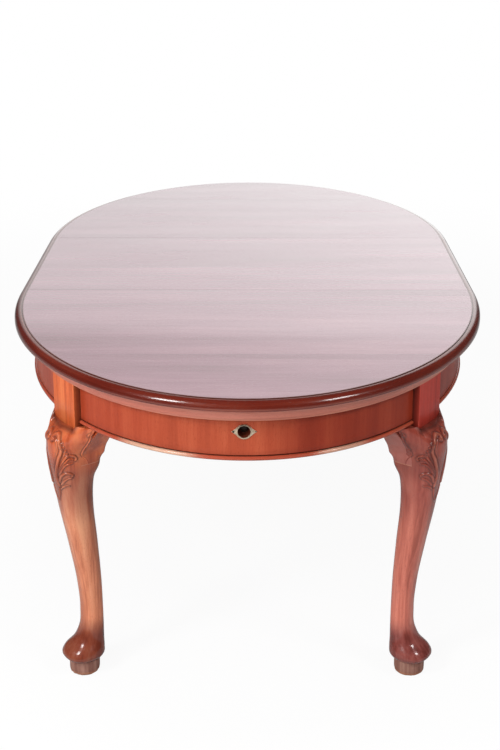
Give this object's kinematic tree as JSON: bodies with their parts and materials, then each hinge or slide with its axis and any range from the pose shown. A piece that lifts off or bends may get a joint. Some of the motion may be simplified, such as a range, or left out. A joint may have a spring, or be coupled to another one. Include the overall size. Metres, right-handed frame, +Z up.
{
  "type": "extending dining table",
  "caption": "Wind-out dining table with two D-shaped ends, a loose leaf, curved aprons and cabriole legs; a screw opens it for a further leaf.",
  "frame": {"origin": "on the floor under the middle of the leaf", "axes": "+Z up; +Y along the way the table opens, away from the winder hole; +X across, to the right seen from the winder end"},
  "size_m": [1.084, 1.9158, 0.737],
  "materials": {
    "top_wood": "french polished mahogany, lightly worn",
    "leaf_wood": "french polished mahogany, lightly worn",
    "moulding_wood": "french polished mahogany",
    "apron_wood": "french polished mahogany",
    "leg_wood": "french polished mahogany, carved",
    "disc_wood": "worn, unpolished",
    "runner_wood": "planed, unpolished",
    "brass": "dull, aged",
    "iron": "blackened",
    "steel": "oiled"
  },
  "bodies": {
    "crank_end": {"front_top": "top_wood", "front_cove_moulding": "moulding_wood", "front_apron": "apron_wood", "front_left_apron": "apron_wood", "front_right_apron": "apron_wood", "front_beads": "apron_wood", "front_left_leg": "leg_wood", "front_right_leg": "leg_wood", "front_knee_ears": "leg_wood", "front_foot_discs": "disc_wood", "front_cross_rail": "runner_wood", "front_glue_blocks": "runner_wood", "left_outer_runner": "runner_wood", "right_outer_runner": "runner_wood", "outer_runner_screws": "steel", "escutcheon": "brass", "escutcheon_pins": "brass", "bearing_block": "runner_wood", "screw_bearing": "iron", "bearing_screws": "steel"},
    "far_end": {"rear_top": "top_wood", "rear_cove_moulding": "moulding_wood", "rear_apron": "apron_wood", "rear_left_apron": "apron_wood", "rear_right_apron": "apron_wood", "rear_beads": "apron_wood", "rear_left_leg": "leg_wood", "rear_right_leg": "leg_wood", "rear_knee_ears": "leg_wood", "rear_foot_discs": "disc_wood", "rear_cross_rail": "runner_wood", "rear_glue_blocks": "runner_wood", "left_inner_runner": "runner_wood", "right_inner_runner": "runner_wood", "inner_runner_screws": "steel", "screw_tube": "iron", "tube_nut": "iron", "tube_block": "runner_wood", "tube_flange": "iron", "flange_screws": "steel"},
    "middle_runners": {"left_middle_runner": "runner_wood", "right_middle_runner": "runner_wood"},
    "winding_screw": {"winding_screw": "steel", "screw_collar": "steel"},
    "leaf": {"leaf": "leaf_wood", "leaf_left_moulding": "moulding_wood", "leaf_right_moulding": "moulding_wood"}
  },
  "joints": [
    {"name": "far_end_slide", "type": "slide", "parent": "crank_end", "child": "far_end", "axis": [0, 1, 0], "range_m": [0, 0.483]},
    {"name": "middle_runner_slide", "type": "slide", "parent": "crank_end", "child": "middle_runners", "axis": [0, 1, 0], "range_m": [0, 0.2415]},
    {"name": "screw_turn", "type": "hinge", "parent": "crank_end", "child": "winding_screw", "pos_m": [-0.004, -0.86, 0.659], "axis": [0, 1, 0], "range_deg": [-21750, 0]},
    {"name": "leaf_lift", "type": "slide", "parent": "crank_end", "child": "leaf", "axis": [0, 0, 1], "range_m": [0, 0.3]}
  ],
  "couplings": [
    {"joint": "middle_runner_slide", "follows": "far_end_slide", "ratio": 0.5},
    {"joint": "screw_turn", "follows": "far_end_slide", "rad_per_m": -785.4}
  ]
}
